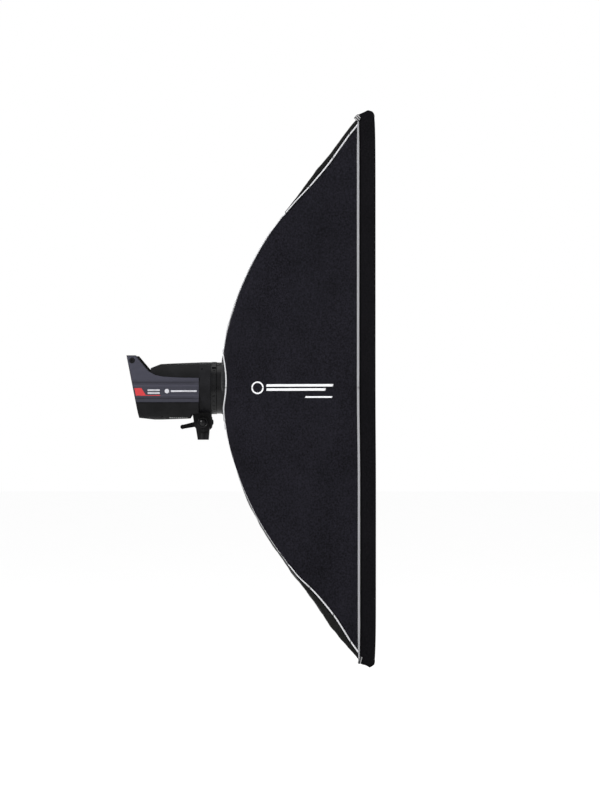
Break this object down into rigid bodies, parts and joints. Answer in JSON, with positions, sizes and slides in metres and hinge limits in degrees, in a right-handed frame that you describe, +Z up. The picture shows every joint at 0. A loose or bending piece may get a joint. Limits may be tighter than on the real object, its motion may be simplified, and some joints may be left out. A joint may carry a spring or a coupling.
{
  "type": "studio softbox light",
  "caption": "Tall rectangular softbox of black cloth on a compact studio flash head, with a folding speedring and a tilting stand bracket.",
  "frame": {"origin": "centre of the stand socket's mouth, where the light stand's spigot enters", "axes": "+X the way the light shines, +Z up along the stand, +Y to the left seen from behind the light"},
  "size_m": [0.606, 0.5, 1.3],
  "materials": {
    "bracket": "satin",
    "knob": "matte",
    "steel": "satin",
    "barrel": "satin",
    "housing": "matte",
    "side_cover": "satin",
    "screw": "satin",
    "display": "gloss",
    "button": "matte",
    "rocker": "gloss",
    "capacitor": "satin",
    "board": "satin",
    "fan": "matte",
    "dome": "frosted",
    "tube": "gloss",
    "lamp": "gloss",
    "rib_steel": "satin",
    "rod": "satin",
    "cloth": "matte",
    "lip": "matte",
    "diffuser": "matte"
  },
  "bodies": {
    "socket": {"stand_socket": "bracket"},
    "socket_knob": {"socket_knob": "knob"},
    "head": {"tilt_yoke": "bracket", "tilt_bolt": "bracket", "friction_washers": "steel", "front_barrel": "barrel", "top_shell": "housing", "bottom_shell": "housing", "side_cover_right": "side_cover", "side_cover_left": "side_cover", "handle_grip": "housing", "handle_screws": "screw", "rear_panel": "housing", "display_window": "display", "mains_inlet": "housing", "capacitor_bank": "capacitor", "circuit_board": "board", "glass_dome": "dome", "flash_tube": "tube", "modelling_lamp": "lamp", "bayonet_flange": "barrel", "retaining_ring": "steel"},
    "tilt_lever": {"tilt_lever": "bracket"},
    "lock_ring": {"lock_ring": "barrel"},
    "power_dial": {"power_dial": "knob"},
    "button_up": {"button_up": "button"},
    "button_down": {"button_down": "button"},
    "power_switch": {"power_switch": "rocker"},
    "cooling_fan": {"cooling_fan": "fan"},
    "speedring": {"speedring": "barrel", "hinge_pins": "steel"},
    "rib_upper_right": {"rib_arm_upper_right": "rib_steel", "rib_rod_upper_right": "rod", "side_panel_upper_right": "cloth", "end_panel_upper_right": "cloth", "front_lip_upper_right": "lip", "front_diffuser_upper_right": "diffuser", "inner_diffuser_upper_right": "diffuser"},
    "rib_upper_left": {"rib_arm_upper_left": "rib_steel", "rib_rod_upper_left": "rod", "side_panel_upper_left": "cloth", "end_panel_upper_left": "cloth", "front_lip_upper_left": "lip", "front_diffuser_upper_left": "diffuser", "inner_diffuser_upper_left": "diffuser"},
    "rib_lower_right": {"rib_arm_lower_right": "rib_steel", "rib_rod_lower_right": "rod", "side_panel_lower_right": "cloth", "end_panel_lower_right": "cloth", "front_lip_lower_right": "lip", "front_diffuser_lower_right": "diffuser", "inner_diffuser_lower_right": "diffuser"},
    "rib_lower_left": {"rib_arm_lower_left": "rib_steel", "rib_rod_lower_left": "rod", "side_panel_lower_left": "cloth", "end_panel_lower_left": "cloth", "front_lip_lower_left": "lip", "front_diffuser_lower_left": "diffuser", "inner_diffuser_lower_left": "diffuser"}
  },
  "joints": [
    {"name": "head_tilt", "type": "hinge", "parent": "socket", "child": "head", "pos_m": [0, 0, 0.043], "axis": [0, 1, 0], "range_deg": [-45, 25]},
    {"name": "socket_knob_turn", "type": "hinge", "parent": "socket", "child": "socket_knob", "pos_m": [0, 0.019, 0.009], "axis": [0, 1, 0], "continuous": true},
    {"name": "tilt_lever_turn", "type": "hinge", "parent": "head", "child": "tilt_lever", "pos_m": [0, 0.028, 0.043], "axis": [0, -1, 0], "range_deg": [0, 60]},
    {"name": "lock_ring_turn", "type": "hinge", "parent": "head", "child": "lock_ring", "pos_m": [0.0275, 0, 0.128], "axis": [1, 0, 0], "range_deg": [0, 25]},
    {"name": "softbox_turn", "type": "hinge", "parent": "head", "child": "speedring", "pos_m": [0.0465, 0, 0.128], "axis": [1, 0, 0], "continuous": true},
    {"name": "power_dial_turn", "type": "hinge", "parent": "head", "child": "power_dial", "pos_m": [-0.16406, -0.034, 0.09572], "axis": [-0.9814, 0, -0.1918], "continuous": true},
    {"name": "button_up_press", "type": "slide", "parent": "head", "child": "button_up", "axis": [0.9814, 0, 0.1918], "range_m": [0, 0.0012], "stiffness_N_per_m": 300},
    {"name": "button_down_press", "type": "slide", "parent": "head", "child": "button_down", "axis": [0.9814, 0, 0.1918], "range_m": [0, 0.0012], "stiffness_N_per_m": 300},
    {"name": "power_switch_rock", "type": "hinge", "parent": "head", "child": "power_switch", "pos_m": [-0.14708, 0.038, 0.07662], "axis": [0, 1, 0], "range_deg": [-14, 0]},
    {"name": "fan_spin", "type": "hinge", "parent": "head", "child": "cooling_fan", "pos_m": [-0.026, 0, 0.128], "axis": [1, 0, 0], "continuous": true},
    {"name": "rib_fold_upper_right", "type": "hinge", "parent": "speedring", "child": "rib_upper_right", "pos_m": [0.05717, -0.04404, 0.19297], "axis": [0, 0.9454, 0.326], "range_deg": [0, 48], "deforming": ["side_panel_upper_right", "end_panel_upper_right", "front_lip_upper_right", "front_diffuser_upper_right", "inner_diffuser_upper_right"]},
    {"name": "rib_fold_upper_left", "type": "hinge", "parent": "speedring", "child": "rib_upper_left", "pos_m": [0.05717, 0.04404, 0.19297], "axis": [0, 0.9454, -0.326], "range_deg": [0, 48], "deforming": ["side_panel_upper_left", "end_panel_upper_left", "front_lip_upper_left", "front_diffuser_upper_left", "inner_diffuser_upper_left"]},
    {"name": "rib_fold_lower_right", "type": "hinge", "parent": "speedring", "child": "rib_lower_right", "pos_m": [0.05717, -0.04404, 0.06303], "axis": [0, -0.9454, 0.326], "range_deg": [0, 48], "deforming": ["side_panel_lower_right", "end_panel_lower_right", "front_lip_lower_right", "front_diffuser_lower_right", "inner_diffuser_lower_right"]},
    {"name": "rib_fold_lower_left", "type": "hinge", "parent": "speedring", "child": "rib_lower_left", "pos_m": [0.05717, 0.04404, 0.06303], "axis": [0, -0.9454, -0.326], "range_deg": [0, 48], "deforming": ["side_panel_lower_left", "end_panel_lower_left", "front_lip_lower_left", "front_diffuser_lower_left", "inner_diffuser_lower_left"]}
  ],
  "couplings": [
    {"joint": "rib_fold_upper_left", "follows": "rib_fold_upper_right", "ratio": 1},
    {"joint": "rib_fold_lower_right", "follows": "rib_fold_upper_right", "ratio": 1},
    {"joint": "rib_fold_lower_left", "follows": "rib_fold_upper_right", "ratio": 1}
  ]
}
